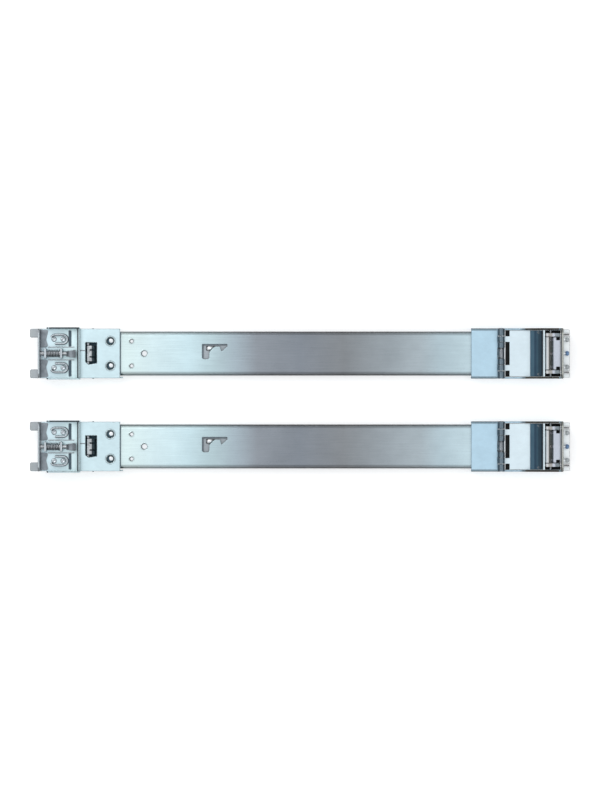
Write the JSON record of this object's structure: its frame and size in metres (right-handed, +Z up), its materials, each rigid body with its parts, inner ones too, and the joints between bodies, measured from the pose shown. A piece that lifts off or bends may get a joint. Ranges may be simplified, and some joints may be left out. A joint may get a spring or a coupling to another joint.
{
  "type": "sliding server rail pair",
  "caption": "Two closed ball-bearing slide rails for a 19-inch rack, each with a latched front bracket and a rear bracket that telescopes to suit the rack's depth.",
  "frame": {"origin": "centre of the pair's outline, on the surface that the rails lie on", "axes": "+X along the rails to the front of the rack, +Y across the pair, +Z up, away from the server"},
  "size_m": [0.628, 0.1688, 0.0375],
  "materials": {
    "zinc_channel": "zinc-plated, brushed",
    "zinc_bracket": "zinc-plated",
    "zinc_door": "zinc-plated, satin",
    "zinc_member": "zinc-plated",
    "bright_steel": "bright",
    "dark_steel": "phosphated",
    "spring_steel": "spring wire",
    "cage_steel": "pressed strip",
    "ball_steel": "polished",
    "chrome_hook": "polished plate",
    "slate_cap": "satin moulding",
    "black_plastic": "glass-filled moulding",
    "rubber_stop": "matt",
    "blue_insert": "blue passivated"
  },
  "bodies": {
    "root": {"left_outer_channel": "zinc_channel", "left_channel_bumpers": "rubber_stop", "left_tongue_guide_rivets": "bright_steel", "left_front_bracket": "zinc_bracket", "left_locating_pins": "bright_steel", "left_threaded_insert": "blue_insert", "left_hinge_pin": "bright_steel", "left_door_spring": "spring_steel", "left_latch_base": "black_plastic", "left_hook_pin": "bright_steel", "left_hook_spring": "spring_steel", "right_outer_channel": "zinc_channel", "right_channel_bumpers": "rubber_stop", "right_tongue_guide_rivets": "bright_steel", "right_front_bracket": "zinc_bracket", "right_locating_pins": "bright_steel", "right_threaded_insert": "blue_insert", "right_hinge_pin": "bright_steel", "right_door_spring": "spring_steel", "right_latch_base": "black_plastic", "right_hook_pin": "bright_steel", "right_hook_spring": "spring_steel"},
    "left_outer_cage": {"left_outer_ball_cage": "cage_steel", "left_outer_balls": "ball_steel"},
    "left_middle": {"left_middle_member": "zinc_member"},
    "left_inner_cage": {"left_inner_ball_cage": "cage_steel", "left_inner_balls": "ball_steel"},
    "left_server_member": {"left_inner_member": "zinc_member", "left_lever_rivet": "bright_steel"},
    "left_release_lever": {"left_release_lever": "black_plastic"},
    "left_door": {"left_latch_door": "zinc_door", "left_door_cap": "slate_cap"},
    "left_hook": {"left_post_hook": "chrome_hook"},
    "left_rear": {"left_rear_bracket": "zinc_bracket", "left_rear_tongue": "zinc_member", "left_rear_rivets": "bright_steel", "left_guide_loops": "bright_steel", "left_pawl_pin": "bright_steel", "left_plunger_spring": "spring_steel"},
    "left_plunger": {"left_rear_plunger": "dark_steel"},
    "left_pawl": {"left_depth_pawl": "dark_steel"},
    "right_outer_cage": {"right_outer_ball_cage": "cage_steel", "right_outer_balls": "ball_steel"},
    "right_middle": {"right_middle_member": "zinc_member"},
    "right_inner_cage": {"right_inner_ball_cage": "cage_steel", "right_inner_balls": "ball_steel"},
    "right_server_member": {"right_inner_member": "zinc_member", "right_lever_rivet": "bright_steel"},
    "right_release_lever": {"right_release_lever": "black_plastic"},
    "right_door": {"right_latch_door": "zinc_door", "right_door_cap": "slate_cap"},
    "right_hook": {"right_post_hook": "chrome_hook"},
    "right_rear": {"right_rear_bracket": "zinc_bracket", "right_rear_tongue": "zinc_member", "right_rear_rivets": "bright_steel", "right_guide_loops": "bright_steel", "right_pawl_pin": "bright_steel", "right_plunger_spring": "spring_steel"},
    "right_plunger": {"right_rear_plunger": "dark_steel"},
    "right_pawl": {"right_depth_pawl": "dark_steel"}
  },
  "joints": [
    {"name": "left_middle_slide", "type": "slide", "parent": "root", "child": "left_middle", "axis": [1, 0, 0], "range_m": [0, 0.3]},
    {"name": "left_outer_cage_slide", "type": "slide", "parent": "root", "child": "left_outer_cage", "axis": [1, 0, 0], "range_m": [0, 0.15]},
    {"name": "left_server_slide", "type": "slide", "parent": "left_middle", "child": "left_server_member", "axis": [1, 0, 0], "range_m": [0, 0.3]},
    {"name": "left_inner_cage_slide", "type": "slide", "parent": "left_middle", "child": "left_inner_cage", "axis": [1, 0, 0], "range_m": [0, 0.15]},
    {"name": "left_lever_swing", "type": "hinge", "parent": "left_server_member", "child": "left_release_lever", "pos_m": [0.19, 0.0541, 0.003], "axis": [0, 0, 1], "range_deg": [0, 8], "stiffness_Nm_per_rad": 0.05, "springref_deg": -5.73},
    {"name": "left_door_swing", "type": "hinge", "parent": "root", "child": "left_door", "pos_m": [0.2338, 0.0541, 0.023], "axis": [0, -1, 0], "range_deg": [0, 80], "stiffness_Nm_per_rad": 0.03, "springref_deg": -28.65},
    {"name": "left_hook_swing", "type": "hinge", "parent": "root", "child": "left_hook", "pos_m": [0.291, 0.0541, 0.024], "axis": [0, 1, 0], "range_deg": [0, 12], "stiffness_Nm_per_rad": 0.2, "springref_deg": -17.19},
    {"name": "left_depth_slide", "type": "slide", "parent": "root", "child": "left_rear", "axis": [-1, 0, 0], "range_m": [0, 0.3048]},
    {"name": "left_plunger_slide", "type": "slide", "parent": "left_rear", "child": "left_plunger", "axis": [-1, 0, 0], "range_m": [0, 0.004], "stiffness_N_per_m": 500, "springref_m": -0.004, "deforming": ["left_plunger_spring"]},
    {"name": "left_pawl_swing", "type": "hinge", "parent": "left_rear", "child": "left_pawl", "pos_m": [-0.2465, 0.0541, 0.01825], "axis": [0, 1, 0], "range_deg": [0, 8], "stiffness_Nm_per_rad": 0.05, "springref_deg": -11.46},
    {"name": "right_middle_slide", "type": "slide", "parent": "root", "child": "right_middle", "axis": [1, 0, 0], "range_m": [0, 0.3]},
    {"name": "right_outer_cage_slide", "type": "slide", "parent": "root", "child": "right_outer_cage", "axis": [1, 0, 0], "range_m": [0, 0.15]},
    {"name": "right_server_slide", "type": "slide", "parent": "right_middle", "child": "right_server_member", "axis": [1, 0, 0], "range_m": [0, 0.3]},
    {"name": "right_inner_cage_slide", "type": "slide", "parent": "right_middle", "child": "right_inner_cage", "axis": [1, 0, 0], "range_m": [0, 0.15]},
    {"name": "right_lever_swing", "type": "hinge", "parent": "right_server_member", "child": "right_release_lever", "pos_m": [0.19, -0.0541, 0.003], "axis": [0, 0, 1], "range_deg": [0, 8], "stiffness_Nm_per_rad": 0.05, "springref_deg": -5.73},
    {"name": "right_door_swing", "type": "hinge", "parent": "root", "child": "right_door", "pos_m": [0.2338, -0.0541, 0.023], "axis": [0, -1, 0], "range_deg": [0, 80], "stiffness_Nm_per_rad": 0.03, "springref_deg": -28.65},
    {"name": "right_hook_swing", "type": "hinge", "parent": "root", "child": "right_hook", "pos_m": [0.291, -0.0541, 0.024], "axis": [0, 1, 0], "range_deg": [0, 12], "stiffness_Nm_per_rad": 0.2, "springref_deg": -17.19},
    {"name": "right_depth_slide", "type": "slide", "parent": "root", "child": "right_rear", "axis": [-1, 0, 0], "range_m": [0, 0.3048]},
    {"name": "right_plunger_slide", "type": "slide", "parent": "right_rear", "child": "right_plunger", "axis": [-1, 0, 0], "range_m": [0, 0.004], "stiffness_N_per_m": 500, "springref_m": -0.004, "deforming": ["right_plunger_spring"]},
    {"name": "right_pawl_swing", "type": "hinge", "parent": "right_rear", "child": "right_pawl", "pos_m": [-0.2465, -0.0541, 0.01825], "axis": [0, 1, 0], "range_deg": [0, 8], "stiffness_Nm_per_rad": 0.05, "springref_deg": -11.46}
  ],
  "couplings": [
    {"joint": "left_outer_cage_slide", "follows": "left_middle_slide", "ratio": 0.5},
    {"joint": "left_inner_cage_slide", "follows": "left_server_slide", "ratio": 0.5},
    {"joint": "right_outer_cage_slide", "follows": "right_middle_slide", "ratio": 0.5},
    {"joint": "right_inner_cage_slide", "follows": "right_server_slide", "ratio": 0.5}
  ]
}
